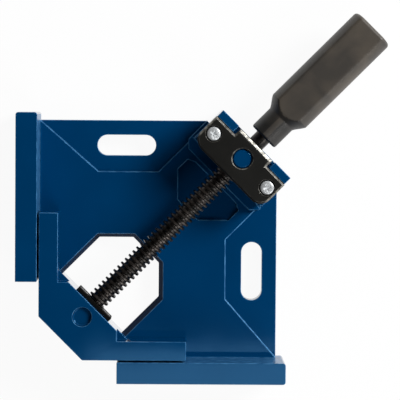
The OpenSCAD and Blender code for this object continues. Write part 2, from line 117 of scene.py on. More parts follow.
def size(name, text, default, low, high):
    """A length in the sidebar, written in millimetres and kept in metres."""
    return FloatProperty(name=name, description=text, default=default * MM, min=low * MM, max=high * MM,
                         unit="LENGTH", precision=5)


class ClampColours(PropertyGroup):
    paint: colour("Paint", "Blue stoving enamel of the castings", "#003c69")
    paint_deep: colour("Deep paint", "The same enamel where it lies thicker", "#003159")
    # Enamel drawn thin on the roundings and painted paler as a highlight, also on the fences' faces
    paint_edge_highlight: colour("Paint on edges", "Enamel drawn thin over an edge", "#5590bd")
    # Near-black blue, painted shade on the window's drafted walls
    window_wall_shade: colour("Overspray", "Dry, dusty enamel on walls that the spray only grazes", "#0b111d")
    coating: colour("Coating", "Black coating of the cover and thrust plates", "#0c0c0a")
    # Pale bare steel, painted highlight along the plates' bevels; the black also lifts a trace towards it at random
    bare_steel_highlight: colour("Coating on edges", "Steel rubbed bare along the plates' edges", "#8b8880")
    zinc: colour("Zinc", "Bright zinc of the cover screws", "#d3d6d8")
    oxide: colour("Black oxide", "Oiled black oxide of the screw", "#1a1816")
    oxide_rub: colour("Rubbed oxide", "Black oxide rubbed brown on the thread's crests", "#4b4541")
    nylon: colour("Nylon", "Moulded nylon of the handle", "#332f2a")
    # A darker copy of the nylon, painted shade on the collar and the cone
    collar: colour("Collar", "The same nylon on the collar and the cone", "#171614")
    nylon_worn: colour("Worn nylon", "Paler, warmer patches of the handle", "#494239")
    floor: colour("Floor", "Pale floor and backdrop", "#f7f7f7")


class ClampEdges(PropertyGroup):
    casting: size("Castings", "Width of the rounding along the castings' edges", 0.35, 0.1, 1.2)
    foot: size("Fence feet", "Width of the hollow fillet along the foot of each fence", 1.2, 0.3, 2)
    turned: size("Nut", "Width of the rounding on the swivelling nut", 0.45, 0.05, 0.48)
    pivot: size("Pivot", "Width of the rounding on the jaw's pivot", 0.15, 0.05, 0.4)
    plate: size("Plates", "Width of the rounding along the plates' edges", 0.2, 0.05, 0.5)
    rim: size("Cover's rims", "Width of the chamfer round the cover's hole and along its back", 0.5, 0.1, 1)
    tongue: size("Cover's tongue", "How far the cover's tongue is drawn back over the plinth", 1, 0, 1.5)
    clip: size("Clip", "Width of the rounding along the clip's edges", 0.08, 0.02, 0.2)
    cup: size("Pivot cup", "Depth of the cup in the end of the jaw's pivot", 1, 0, 2)
    segments: IntProperty(name="Segments", description="Strips in each rounding", default=3, min=1, max=6)


class ClampThread(PropertyGroup):
    pitch: size("Pitch", "Travel of the jaw for one turn of the handle", 3, 1, 5)
    depth: size("Depth", "Height of the thread over its root", 1.75, 0.5, 2.5)
    facets: IntProperty(name="Facets", description="Facets round one turn", default=56, min=16, max=128)


class ClampHandle(PropertyGroup):
    collar_radius: size("Collar radius", "Radius of the collar", 8.75, 6, 12)
    collar_length: size("Collar length", "Length of the collar", 13.9, 8, 20)
    shoulder_length: size("Shoulder length", "Length of the cone behind the collar", 6.7, 3, 12)
    grip_radius: size("Grip radius", "Radius of the grip's round sides", 13.05, 10, 18)
    half_thickness: size("Half thickness", "Distance of each flat from the axis", 10, 8, 13)
    turn: FloatProperty(name="Turn", description="How far the handle stands turned at rest, seen from its far end",
                        default=math.radians(5), min=-math.pi, max=math.pi, subtype="ANGLE")
    blend: size("Blend", "Rounding between the flats and the round sides", 0.45, 0.2, 3)
    end_rounding: size("End rounding", "Rounding at the far end", 2, 0.5, 5)
    end_gap: size("End gap", "How far the far end stays within the CAD handle's, as its rounding is tighter", 0.35, 0, 2)
    mouth_radius: size("Mouth radius", "Radius of the recess at the mouth", 6.6, 5.2, 8)
    mouth_depth: size("Mouth depth", "Depth of that recess", 1.4, 0.3, 4)


class ClampScrews(PropertyGroup):
    head_radius: size("Head radius", "Radius of the cover screws' heads", 3.9, 3, 4.5)
    head_height: size("Head height", "Height of the cover screws' heads", 2.6, 1.5, 3)
    shaft_radius: size("Shaft radius", "Radius of the cover screws", 2, 1.5, 2.2)
    cross_length: size("Cross length", "Length of the cross recess", 5, 2, 6)
    cross_width: size("Cross width", "Width of the cross recess", 1.2, 0.4, 1.5)
    cross_depth: size("Cross depth", "Depth of the cross recess", 0.8, 0.3, 2)


class ClampSettings(PropertyGroup):
    colours: PointerProperty(type=ClampColours)
    edges: PointerProperty(type=ClampEdges)
    thread: PointerProperty(type=ClampThread)
    handle: PointerProperty(type=ClampHandle)
    screws: PointerProperty(type=ClampScrews)


# Materials

def add(tree, kind, inputs=(), **settings):
    """Adds a node with its properties; inputs maps sockets to a value or to the socket that feeds them."""
    node = tree.nodes.new(kind)
    for name, value in settings.items():
        setattr(node, name, value)
    for name, value in dict(inputs).items():
        if isinstance(value, NodeSocket):
            tree.links.new(value, node.inputs[name])
        else:
            node.inputs[name].default_value = value
    return node


def grain(size_mm):
    """Scale of a pattern whose grains are that many millimetres across."""
    return 1 / (size_mm * MM)


def blank_material(name):
    """An empty node material."""
    material = bpy.data.materials.new(name)
    material.use_nodes = True
    material.node_tree.nodes.clear()
    return material, material.node_tree


def finish_material(tree, shader):
    """Sends a shader to the material's output."""
    add(tree, "ShaderNodeOutputMaterial", {"Surface": shader.outputs[0]})


def stove_enamel(colours):
    """Gloss enamel, sprayed and stoved on a die casting: deep blue that turns paler only where it mirrors
    a lamp, with the faint orange peel of sprayed paint and slow waves from the casting below."""
    material, tree = blank_material("blue_stove_enamel")
    place = add(tree, "ShaderNodeTexCoord").outputs["Object"]
    cloud = add(tree, "ShaderNodeTexNoise", {"Vector": place, "Scale": grain(38), "Detail": 3})
    tone = add(tree, "ShaderNodeMix", {"Factor": cloud.outputs[0], "A": colours.paint_deep, "B": colours.paint},
               data_type="RGBA")
    peel = add(tree, "ShaderNodeTexNoise", {"Vector": place, "Scale": grain(1.5), "Detail": 1})
    wave = add(tree, "ShaderNodeTexNoise", {"Vector": place, "Scale": grain(16), "Detail": 1})
    shine = add(tree, "ShaderNodeMapRange", {"Value": wave.outputs[0], "To Min": 0.05, "To Max": 0.09})
    waves = add(tree, "ShaderNodeBump", {"Height": wave.outputs[0], "Strength": 0.25, "Distance": 0.08 * MM})
    peels = add(tree, "ShaderNodeBump", {"Height": peel.outputs[0], "Normal": waves.outputs[0],
                                         "Strength": 0.35, "Distance": 0.005 * MM})
    finish_material(tree, add(tree, "ShaderNodeBsdfPrincipled", {
        "Base Color": tone.outputs["Result"], "Roughness": shine.outputs[0], "Normal": peels.outputs[0],
        "IOR": 1.5, "Specular Tint": BLUE_SHINE}))
    return material


# The pigment's sheen, which tints what the enamel mirrors
BLUE_SHINE = (0.2, 0.58, 1.0, 1.0)


def wet_enamel(colours):
    """The same enamel where it ran thick and stayed wet the longest, on the jaw's front wall: a second clear
    skin over the paint makes it a brighter mirror of the floor."""
    material = stove_enamel(colours)
    material.name = "blue_enamel_run_thick"
    shader = next(n for n in material.node_tree.nodes if n.type == "BSDF_PRINCIPLED")
    shader.inputs["Coat Weight"].default_value = 1.0
    shader.inputs["Coat Roughness"].default_value = 0.02
    return material


def edge_highlight_enamel(colours):
    """The same enamel drawn thin over a rounded edge, and painted paler and greyer in broken patches as a
    highlight, so that edges catch the eye as fine light lines."""
    material, tree = blank_material("blue_enamel_painted_edge_highlight")
    place = add(tree, "ShaderNodeTexCoord").outputs["Object"]
    patch = add(tree, "ShaderNodeTexNoise", {"Vector": place, "Scale": grain(4), "Detail": 4})
    much = add(tree, "ShaderNodeMapRange", {"Value": patch.outputs[0], "From Min": 0.35, "From Max": 0.65,
                                            "To Min": 0.1, "To Max": 0.6})
    tone = add(tree, "ShaderNodeMix", {"Factor": much.outputs[0], "A": colours.paint, "B": colours.paint_edge_highlight},
               data_type="RGBA")
    finish_material(tree, add(tree, "ShaderNodeBsdfPrincipled", {
        "Base Color": tone.outputs["Result"], "Roughness": 0.28, "IOR": 1.5, "Specular Tint": BLUE_SHINE}))
    return material


def window_shade_enamel(colours):
    """Enamel on the drafted walls of the window, painted near black in patches as shade,
    without shine."""
    material, tree = blank_material("window_walls_painted_shade")
    place = add(tree, "ShaderNodeTexCoord").outputs["Object"]
    shade_patches = add(tree, "ShaderNodeTexNoise", {"Vector": place, "Scale": grain(7), "Detail": 4})
    tone = add(tree, "ShaderNodeMix", {"Factor": shade_patches.outputs[0], "A": colours.paint_deep, "B": colours.window_wall_shade},
               data_type="RGBA")
    sand = add(tree, "ShaderNodeTexNoise", {"Vector": place, "Scale": grain(0.6), "Detail": 2})
    grit = add(tree, "ShaderNodeBump", {"Height": sand.outputs[0], "Strength": 0.4, "Distance": 0.03 * MM})
    finish_material(tree, add(tree, "ShaderNodeBsdfPrincipled", {
        "Base Color": tone.outputs["Result"], "Roughness": 0.7, "Normal": grit.outputs[0],
        "Specular IOR Level": 0.02}))
    return material


def black_coating(colours):
    """Satin black coating, baked on steel: near black with a soft sheen and a fine, even grain."""
    material, tree = blank_material("black_baked_coating")
    place = add(tree, "ShaderNodeTexCoord").outputs["Object"]
    cloud = add(tree, "ShaderNodeTexNoise", {"Vector": place, "Scale": grain(12), "Detail": 3})
    lift = add(tree, "ShaderNodeMapRange", {"Value": cloud.outputs[0], "To Min": 0.0, "To Max": 0.025})
    tone = add(tree, "ShaderNodeMix", {"Factor": lift.outputs[0], "A": colours.coating, "B": colours.bare_steel_highlight},
               data_type="RGBA")
    fine = add(tree, "ShaderNodeTexNoise", {"Vector": place, "Scale": grain(0.7), "Detail": 2})
    grit = add(tree, "ShaderNodeBump", {"Height": fine.outputs[0], "Strength": 0.3, "Distance": 0.02 * MM})
    finish_material(tree, add(tree, "ShaderNodeBsdfPrincipled", {
        "Base Color": tone.outputs["Result"], "Roughness": 0.42, "Normal": grit.outputs[0],
        "Specular IOR Level": 0.2}))
    return material


def dull_coating(colours):
    """The same black, but dull and unpolished, as on the thrust plate: it mirrors next to nothing."""
    material, tree = blank_material("dull_black_coating")
    place = add(tree, "ShaderNodeTexCoord").outputs["Object"]
    fine = add(tree, "ShaderNodeTexNoise", {"Vector": place, "Scale": grain(0.9), "Detail": 2})
    grit = add(tree, "ShaderNodeBump", {"Height": fine.outputs[0], "Strength": 0.4, "Distance": 0.03 * MM})
    finish_material(tree, add(tree, "ShaderNodeBsdfPrincipled", {
        "Base Color": colours.coating, "Roughness": 0.6, "Normal": grit.outputs[0], "Specular IOR Level": 0.06}))
    return material


def steel_edge_highlight(name, colours, least, most, metal):
    """Coated steel with pale bare metal along its edges, from a least to a most share, in streaks between
    remains of the black: painted highlight along the edges."""
    material, tree = blank_material(name)
    place = add(tree, "ShaderNodeTexCoord").outputs["Object"]
    patch = add(tree, "ShaderNodeTexNoise", {"Vector": place, "Scale": grain(2.5), "Detail": 4})
    bare = add(tree, "ShaderNodeMapRange", {"Value": patch.outputs[0], "From Min": 0.4, "From Max": 0.6,
                                            "To Min": least, "To Max": most})
    tone = add(tree, "ShaderNodeMix", {"Factor": bare.outputs[0], "A": colours.coating, "B": colours.bare_steel_highlight},
               data_type="RGBA")
    finish_material(tree, add(tree, "ShaderNodeBsdfPrincipled", {
        "Base Color": tone.outputs["Result"], "Roughness": 0.32, "Metallic": metal}))
    return material


def bright_bevel_highlight(colours):
    """Bevels that face the lamp, painted bright in bare steel as a highlight."""
    return steel_edge_highlight("steel_painted_bright_highlight", colours, 0.25, 1.0, 0.7)


def faint_edge_highlight(colours):
    """The other rounded edges: a faint grey line of painted highlight."""
    return steel_edge_highlight("coating_painted_faint_highlight", colours, 0.05, 0.3, 0.2)


def bright_zinc(colours):
    """Bright zinc plate on a pressed screw head: pale metal with a faint grain and a few darker stains."""
    material, tree = blank_material("bright_zinc_plate")
    place = add(tree, "ShaderNodeTexCoord").outputs["Object"]
    stain = add(tree, "ShaderNodeTexNoise", {"Vector": place, "Scale": grain(1.6), "Detail": 4})
    dull = add(tree, "ShaderNodeMapRange", {"Value": stain.outputs[0], "From Min": 0.3, "From Max": 0.7,
                                            "To Min": 0.2, "To Max": 0.42})
    mark = add(tree, "ShaderNodeBump", {"Height": stain.outputs[0], "Strength": 0.5, "Distance": 0.05 * MM})
    finish_material(tree, add(tree, "ShaderNodeBsdfPrincipled", {
        "Base Color": colours.zinc, "Metallic": 0.55, "Roughness": dull.outputs[0], "Normal": mark.outputs[0]}))
    return material


def bare_recess(colours):
    """The walls of a screw's cross recess, pressed smooth and pale: they scatter light out of the recess, so
    that the cross reads as light strokes."""
    material, tree = blank_material("pale_zinc_in_recess")
    finish_material(tree, add(tree, "ShaderNodeBsdfPrincipled", {
        "Base Color": colours.zinc, "Metallic": 0.0, "Roughness": 0.35}))
    return material


def black_oxide(colours):
    """Black oxide on a rolled steel screw, wet with oil: almost black metal that rubs brown in places and
    glints along every crest."""
    material, tree = blank_material("oiled_black_oxide")
    place = add(tree, "ShaderNodeTexCoord").outputs["Object"]
    rub = add(tree, "ShaderNodeTexNoise", {"Vector": place, "Scale": grain(5), "Detail": 5})
    much = add(tree, "ShaderNodeMapRange", {"Value": rub.outputs[0], "From Min": 0.42, "From Max": 0.72})
    tone = add(tree, "ShaderNodeMix", {"Factor": much.outputs[0], "A": colours.oxide, "B": colours.oxide_rub},
               data_type="RGBA")
    film = add(tree, "ShaderNodeTexNoise", {"Vector": place, "Scale": grain(0.9), "Detail": 3})
    oil = add(tree, "ShaderNodeMapRange", {"Value": film.outputs[0], "To Min": 0.2, "To Max": 0.4})
    pits = add(tree, "ShaderNodeBump", {"Height": film.outputs[0], "Strength": 0.4, "Distance": 0.03 * MM})
    finish_material(tree, add(tree, "ShaderNodeBsdfPrincipled", {
        "Base Color": tone.outputs["Result"], "Metallic": 0.6, "Roughness": oil.outputs[0],
        "Normal": pits.outputs[0]}))
    return material


def nylon(name, fresh, worn):
    """Glass-filled nylon, moulded: dark warm grey with a dry sheen, cloudy where the melt flowed, with the
    fine spark-eroded grain of the mould."""
    material, tree = blank_material(name)
    place = add(tree, "ShaderNodeTexCoord").outputs["Object"]
    flow = add(tree, "ShaderNodeTexNoise", {"Vector": place, "Scale": grain(22), "Detail": 3, "Distortion": 0.6})
    much = add(tree, "ShaderNodeMapRange", {"Value": flow.outputs[0], "From Min": 0.38, "From Max": 0.7})
    tone = add(tree, "ShaderNodeMix", {"Factor": much.outputs[0], "A": fresh, "B": worn}, data_type="RGBA")
    spark = add(tree, "ShaderNodeTexNoise", {"Vector": place, "Scale": grain(0.8), "Detail": 2})
    grit = add(tree, "ShaderNodeBump", {"Height": spark.outputs[0], "Strength": 0.35, "Distance": 0.03 * MM})
    finish_material(tree, add(tree, "ShaderNodeBsdfPrincipled", {
        "Base Color": tone.outputs["Result"], "Roughness": 0.46, "Normal": grit.outputs[0], "IOR": 1.53}))
    return material


def moulded_nylon(colours):
    """Nylon of the grip, with patches that hands have rubbed paler."""
    return nylon("moulded_nylon", colours.nylon, colours.nylon_worn)


def collar_nylon_shaded(colours):
    """Nylon of the collar and the cone: a darker copy of the grip's, as painted shade."""
    return nylon("moulded_nylon_collar_painted_shade", colours.collar, colours.nylon)


def pale_floor(colours):
    """Matt pale card: seen straight on it is almost white, and it keeps a light trace of the shadow."""
    material, tree = blank_material("pale_card")
    rays = add(tree, "ShaderNodeLightPath")
    either = add(tree, "ShaderNodeMath", {0: rays.outputs["Is Camera Ray"], 1: rays.outputs["Is Glossy Ray"]},
                 operation="MAXIMUM")
    seen = add(tree, "ShaderNodeMath", {0: either.outputs[0], 1: rays.outputs["Is Transmission Ray"]},
               operation="MAXIMUM")
    share = add(tree, "ShaderNodeMath", {0: seen.outputs[0], 1: FLOOR_WHITE_SHARE}, operation="MULTIPLY")
    place = add(tree, "ShaderNodeTexCoord").outputs["Object"]
    fibre = add(tree, "ShaderNodeTexNoise", {"Vector": place, "Scale": grain(1.2), "Detail": 2})
    tooth = add(tree, "ShaderNodeBump", {"Height": fibre.outputs[0], "Strength": 0.1, "Distance": 0.05 * MM})
    card = add(tree, "ShaderNodeBsdfDiffuse", {"Color": colours.floor, "Normal": tooth.outputs[0]})
    white = add(tree, "ShaderNodeEmission", {"Color": linear("#ffffff"), "Strength": 1.0})
    finish_material(tree, add(tree, "ShaderNodeMixShader", {0: share.outputs[0], 1: card.outputs[0],
                                                            2: white.outputs[0]}))
    return material


FLOOR_WHITE_SHARE = 0.94


def finish(make):
    """The material that a function makes, made once."""
    if make.__name__ not in FINISHES:
        FINISHES[make.__name__] = make(bpy.context.scene.corner_clamp.colours)
    return FINISHES[make.__name__]


FINISHES = {}


# Mesh tools

# Vertices closer than this are one, flats may bend by this much, and edges sharper than this are rounded
WELD = 0.002 * MM
FLAT = math.radians(0.5)
CORNER = math.radians(24)


def piece_from(name, form, finishes, crease=None):
    """Makes an object of a bmesh, smooth and with its broad faces kept flat, and sharp beyond the crease."""
    for face in form.faces:
        face.smooth = True
    mesh = bpy.data.meshes.new(name)
    form.to_mesh(mesh)
    form.free()
    if crease:
        mesh.set_sharp_from_angle(angle=crease)
    for make in finishes:
        mesh.materials.append(finish(make))
    piece = bpy.data.objects.new(name, mesh)
    bpy.context.scene.collection.objects.link(piece)
    even = piece.modifiers.new("even_normals", "WEIGHTED_NORMAL")
    even.weight = 100
    even.keep_sharp = True
    return piece


def hand_in(piece, body, node):
    """Puts a piece on its body and hides the node whose place it takes."""
    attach(piece, body)
    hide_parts(node)


def winding(point, outline):
    """How many times a flat outline goes round a point, anticlockwise."""
    count = 0
    for a, b in zip(outline, outline[1:] + outline[:1]):
        side = (b - a).cross(point - a)
        if a.y <= point.y < b.y and side > 0:
            count += 1
        elif b.y <= point.y < a.y and side < 0:
            count -= 1
    return count


def mend_flats(form):
    """Cuts a flat face into triangles where its outline has come to cross itself beside a rounded edge."""
    covered = {}
    form.faces.index_update()
    for loops in form.calc_loop_triangles():
        a, b, c = (loop.vert.co for loop in loops)
        covered[loops[0].face] = covered.get(loops[0].face, 0) + (b - a).cross(c - a).length / 2
    crossed = [f for f in form.faces if len(f.verts) > 4 and abs(covered[f] - f.calc_area()) > f.calc_area() * 0.001]
    for face in crossed:
        lay = upright(face.normal).to_3x3()
        flat = lay.transposed()
        depth = (flat @ face.verts[0].co).z
        outline = [(flat @ v.co).xy for v in face.verts]
        count = len(outline)
        points, _, cells, origins, _, _ = geometry.delaunay_2d_cdt(
            outline, [(i, (i + 1) % count) for i in range(count)], [], 0, WELD / 20, True)
        verts = [face.verts[origin[0]] if origin else form.verts.new(lay @ Vector((p.x, p.y, depth)))
                 for p, origin in zip(points, origins)]
        for cell in cells:
            if winding(sum((points[i] for i in cell), Vector((0, 0))) / 3, outline) > 0:
                corners = [verts[i] for i in cell]
                if not form.faces.get(corners):
                    form.faces.new(corners, face)
    bmesh.ops.delete(form, geom=crossed, context="FACES_ONLY")
    stitch(form)


def stitch(form):
    """Splits each open edge where the end of another open edge lies on it, joins what then coincides and closes
    the slits that are left."""
    bmesh.ops.remove_doubles(form, verts=form.verts, dist=WELD / 4)
    rim = [e for e in form.edges if e.is_boundary and e.calc_length() > WELD * 2]
    ends = {v for e in rim for v in e.verts}
    for edge in rim:
        start, way = edge.verts[0], edge.verts[1].co - edge.verts[0].co
        least = WELD / way.length
        shares = []
        for vert in ends.difference(edge.verts):
            share = (vert.co - start.co).dot(way) / way.length_squared
            if least < share < 1 - least and (vert.co - start.co - way * share).length < WELD:
                shares.append(share)
        done = 0
        for share in sorted(shares):
            start = bmesh.utils.edge_split(edge, start, (share - done) / (1 - done))[1]
            done = share
    bmesh.ops.remove_doubles(form, verts=form.verts, dist=WELD)
    filled = bmesh.ops.holes_fill(form, edges=[e for e in form.edges if e.is_boundary], sides=0)["faces"]
    bmesh.ops.triangulate(form, faces=filled)


# Below this height of its normal a face counts as upright and keeps its first finish, without the painted edge
# highlight
UPRIGHT = 0.15
# Room that a face needs beside an inner corner for the corner to be filled, as a share of the fillet's width
FOOT_ROOM = 12


def room_beside(edge, face):
    """How far a face reaches away from one of its edges."""
    a, b = (v.co for v in edge.verts)
    along = (b - a).normalized()
    return max(((v.co - a) - along * (v.co - a).dot(along)).length for v in face.verts)


def eased(node, name, width, finishes, chosen=None, hollow=0.0, rim=None, drawn=None):
    """A copy of a solid with its flats whole and its sharp edges rounded; the roundings take the second finish,
    and chosen says for a face's place and normal which finish it takes instead, or None. Level inner corners between two broad faces get a
    fillet of the hollow width. A rim is a test for places and the width of a chamfer on the edges there. Drawn
    says for a place how far it is moved first."""
    form = bmesh.new()
    form.from_mesh(frame["nodes"][node].data)
    bmesh.ops.remove_doubles(form, verts=form.verts, dist=WELD)
    bmesh.ops.dissolve_limit(form, angle_limit=FLAT, verts=form.verts, edges=form.edges)
    for vert in form.verts if drawn else ():
        vert.co += drawn(vert.co)
    for face in form.faces:
        face.material_index = 0
    segments = bpy.context.scene.corner_clamp.edges.segments
    if hollow:
        feet = [e for e in form.edges if e.is_manifold and e.calc_face_angle_signed() < -CORNER
                and abs(e.verts[0].co.z - e.verts[1].co.z) < WELD
                and min(room_beside(e, face) for face in e.link_faces) > hollow * FOOT_ROOM]
        bmesh.ops.bevel(form, geom=feet, offset=hollow, offset_type="OFFSET", profile=0.5, affect="EDGES",
                        segments=segments, clamp_overlap=False, material=0)
    if rim:
        wide = [e for e in form.edges if e.is_manifold and e.calc_face_angle_signed() > CORNER
                and rim[0]((e.verts[0].co + e.verts[1].co) / 2)]
        bmesh.ops.bevel(form, geom=wide, offset=rim[1], offset_type="OFFSET", affect="EDGES", segments=1,
                        clamp_overlap=False, material=0)
    sharp = [e for e in form.edges if e.is_manifold and e.calc_face_angle() > CORNER]
    bmesh.ops.bevel(form, geom=sharp, offset=width, offset_type="OFFSET", profile=0.5, affect="EDGES",
                    segments=segments, clamp_overlap=False, material=min(1, len(finishes) - 1),
                    miter_outer="ARC")
    mend_flats(form)
    form.normal_update()
    for face in form.faces:
        if abs(face.normal.z) < UPRIGHT:
            face.material_index = 0
        other = chosen(face.calc_center_median(), face.normal) if chosen else None
        if other is not None:
            face.material_index = other
    return piece_from(name, form, finishes)


def skin(form, rings):
    """Joins rings of points into a closed skin, each end drawn to its middle."""
    made = [[form.verts.new(p) for p in ring] for ring in rings]
    count = len(made[0])
    for near, far in zip(made, made[1:]):
        for i in range(count):
            k = (i + 1) % count
            form.faces.new((near[i], near[k], far[k], far[i]))
    for ring, turn in ((made[0], -1), (made[-1], 1)):
        hub = form.verts.new(sum((v.co for v in ring), Vector()) / count)
        for i in range(count):
            pair = (ring[i], ring[(i + 1) % count])[::turn]
            form.faces.new((*pair, hub))


def turned(form, outline, facets=64, place=Matrix.Identity(4)):
    """A turned form about Z from an outline of (radius, height), lowest point first."""
    rings = [[place @ Vector((r * math.cos(a), r * math.sin(a), z)) for a in
              (2 * math.pi * i / facets for i in range(facets))] for r, z in outline]
    skin(form, rings)


def arc(centre_r, centre_z, radius, start, end, steps=6):
    """Points of an arc in an outline, by angles in degrees from the outward direction."""
    return [(centre_r + radius * math.cos(math.radians(start + (end - start) * i / steps)),
             centre_z + radius * math.sin(math.radians(start + (end - start) * i / steps)))
            for i in range(steps + 1)]


def cross_recess(length, width, depth, top, place):
    """A cutter for a cross recess that narrows to its bottom, with its top at a height."""
    form = bmesh.new()
    rings = []
    for z, grow in ((top - depth, 0.3), (top - depth * 0.35, 0.8), (top + depth, 1.1)):
        far, near = length / 2 * grow, width / 2 * (0.5 + 0.5 * grow)
        arm = [Vector((far, -near, z)), Vector((far, near, z)), Vector((near, near, z))]
        rings.append([place @ Matrix.Rotation(math.pi / 2 * quarter, 4, "Z") @ p for quarter in range(4) for p in arm])
    skin(form, rings)
    return form


def carved(name, solid, cutters, finishes):
    """A solid with cutters taken out of it; what they lay bare takes the last finish."""
    bmesh.ops.recalc_face_normals(solid, faces=solid.faces)
    piece = piece_from(name, solid, finishes)
    piece.modifiers.clear()
    tools = []
    for form in cutters:
        bmesh.ops.recalc_face_normals(form, faces=form.faces)
        for face in form.faces:
            face.material_index = len(finishes) - 1
        mesh = bpy.data.meshes.new(name + "_cutter")
        form.to_mesh(mesh)
        form.free()
        tools.append(bpy.data.objects.new(name + "_cutter", mesh))
        bpy.context.scene.collection.objects.link(tools[-1])
        cut = piece.modifiers.new("cut", "BOOLEAN")
        cut.object = tools[-1]
        cut.solver = "EXACT"
    ready = piece.evaluated_get(bpy.context.evaluated_depsgraph_get())
    piece.data = bpy.data.meshes.new_from_object(ready)
    piece.modifiers.clear()
    for tool in tools:
        bpy.data.objects.remove(tool)
    piece.data.set_sharp_from_angle(angle=CORNER)
    return piece


# Operators, one for each piece or group of like pieces

class ClampStep:
    """What every step shares."""
    bl_options = {"REGISTER"}

    @property
    def settings(self):
        return bpy.context.scene.corner_clamp


# Place in metres, tilt in radians and focal length in millimetres, fitted to the photograph's frame
CAMERA_PLACE = Vector((0.0734231, 0.1489028, 1.3823975))
CAMERA_TILT = Vector((0.0435, 0.0125, -0.0066))
SENSOR = 36
LENS = 218.33


class CLAMP_OT_camera(ClampStep, Operator):
    """Looks down on the clamp from the photograph's place"""
    bl_idname = "corner_clamp.camera"
    bl_label = "Camera"

    def execute(self, context):
        lens = bpy.data.cameras.new("camera")
        lens.sensor_width = SENSOR
        lens.lens = LENS
        lens.clip_start, lens.clip_end = 0.05, 20
        camera = bpy.data.objects.new("camera", lens)
        tilt = (Matrix.Rotation(CAMERA_TILT.z, 4, "Z") @ Matrix.Rotation(CAMERA_TILT.y, 4, "Y")
                @ Matrix.Rotation(CAMERA_TILT.x, 4, "X"))
        camera.matrix_world = Matrix.Translation(CAMERA_PLACE) @ tilt.transposed()
        context.scene.collection.objects.link(camera)
        context.scene.camera = camera
        return {"FINISHED"}


FLOOR_HALF = 4
FLOOR_GAP = 0.2 * MM
ROOM_OVERHEAD = 0.012
# Name, place, the point it faces, width and power of each lamp
BED = (0.06, 0.06, 0.0)
LAMPS = (("key_lamp", (1.1, 0.65, 0.92), BED, 0.5, 22.3), ("fill_lamp", (0.75, -0.95, 1.05), BED, 0.7, 7),
         ("front_panel", (0.137, -0.275, 1.3), (0.137, -0.275, 0.0), 0.3, 0.74))
# The window side of the room, and how bright the room's walls are on that side and across from it
WINDOW_SIDE = (0.94, 0.34, 0.0)
WALL_BRIGHT, WALL_DIM = 1.35, 0.25


class CLAMP_OT_stage(ClampStep, Operator):
    """Lays the pale floor and hangs the soft lamps"""
    bl_idname = "corner_clamp.stage"
    bl_label = "Stage"

    def execute(self, context):
        scene = context.scene
        scene.view_settings.view_transform = "Standard"
        form = bmesh.new()
        bmesh.ops.create_grid(form, x_segments=8, y_segments=8, size=FLOOR_HALF)
        floor = piece_from("floor", form, [pale_floor])
        target = middle_of("base_casting")
        floor.location = (target.x, target.y, -FLOOR_GAP)
        for name, place, facing, width, power in LAMPS:
            light = bpy.data.lights.new(name, "AREA")
            light.shape = "SQUARE"
            light.size = width
            light.energy = power
            lamp = bpy.data.objects.new(name, light)
            lamp.location = place
            lamp.rotation_euler = (Vector(place) - Vector(facing)).to_track_quat("Z", "Y").to_euler()
            scene.collection.objects.link(lamp)
        # A room that is light at eye level, most on one side, and dark overhead, so that flats stay deep and the
        # edges that face that side catch the light
        room = bpy.data.worlds.new("room")
        room.use_nodes = True
        tree = room.node_tree
        tree.nodes.clear()
        way = add(tree, "ShaderNodeTexCoord").outputs["Generated"]
        rise = add(tree, "ShaderNodeSeparateXYZ", {"Vector": way})
        level = add(tree, "ShaderNodeMapRange", {"Value": rise.outputs["Z"], "From Min": 0.1, "From Max": 0.75,
                                                 "To Min": 1.0, "To Max": ROOM_OVERHEAD},
                    interpolation_type="SMOOTHSTEP")
        side = add(tree, "ShaderNodeVectorMath", {0: way, 1: WINDOW_SIDE}, operation="DOT_PRODUCT")
        wall = add(tree, "ShaderNodeMapRange", {"Value": side.outputs["Value"], "From Min": -0.5, "From Max": 0.9,
                                                "To Min": WALL_DIM, "To Max": WALL_BRIGHT},
                   interpolation_type="SMOOTHSTEP")
        both = add(tree, "ShaderNodeMath", {0: level.outputs[0], 1: wall.outputs[0]}, operation="MULTIPLY")
        glow = add(tree, "ShaderNodeBackground", {"Color": linear("#ffffff"), "Strength": both.outputs[0]})
        add(tree, "ShaderNodeOutputWorld", {"Surface": glow.outputs[0]})
        scene.world = room
        return {"FINISHED"}


# How far from the window's middle its walls lie, as a share of the opening's diagonal
WINDOW_REACH = 0.95


class CLAMP_OT_base_casting(ClampStep, Operator):
    """Paints the base casting, with its edges rounded as they leave the die, painted highlights on its edges and fence
    faces, and painted shade on the window's walls
    """
    bl_idname = "corner_clamp.base_casting"
    bl_label = "Base casting"

    def execute(self, context):
        window = next(o for o in frame["record"]["physics"]["openings"] if o["name"] == "window")["box_m"]
        middle = (Vector(window[0]) + Vector(window[1])) / 2
        reach = (Vector(window[1]) - Vector(window[0])).length * WINDOW_REACH

        fences = [(Vector(mount["pos_m"]), Vector(mount["axis"])) for mount in frame["record"]["mounts"]
                  if mount["name"].startswith("fence_face")]

        def walls(place, normal):
            """The second finish, pale enamel as painted light, for the fences' clamping faces, which face the lamp,
            and the third, dark as painted shade, for the window's walls.
            """
            if any(normal.dot(axis) > 0.98 and abs((place - point).dot(axis)) < MM for point, axis in fences):
                return 1
            way = middle - place
            return 2 if (abs(normal.z) < 0.4 and place.z < window[1][2] and way.xy.length < reach
                         and way.xy.dot(normal.xy) > 0) else None

        piece = eased("base_casting", "base", self.settings.edges.casting, [stove_enamel, edge_highlight_enamel, window_shade_enamel],
                      walls, self.settings.edges.foot)
        hand_in(piece, "frame", "base_casting")
        return {"FINISHED"}


# Heights of the normals between which a face is part of the cover's bevel, and how far a bevel may look towards
# the jaw and still take the bright painted highlight, as the lamp lights the cover from behind
BEVEL_STEEP, BEVEL_FLAT = 0.4, 0.92
BEVEL_FRONT = -0.25


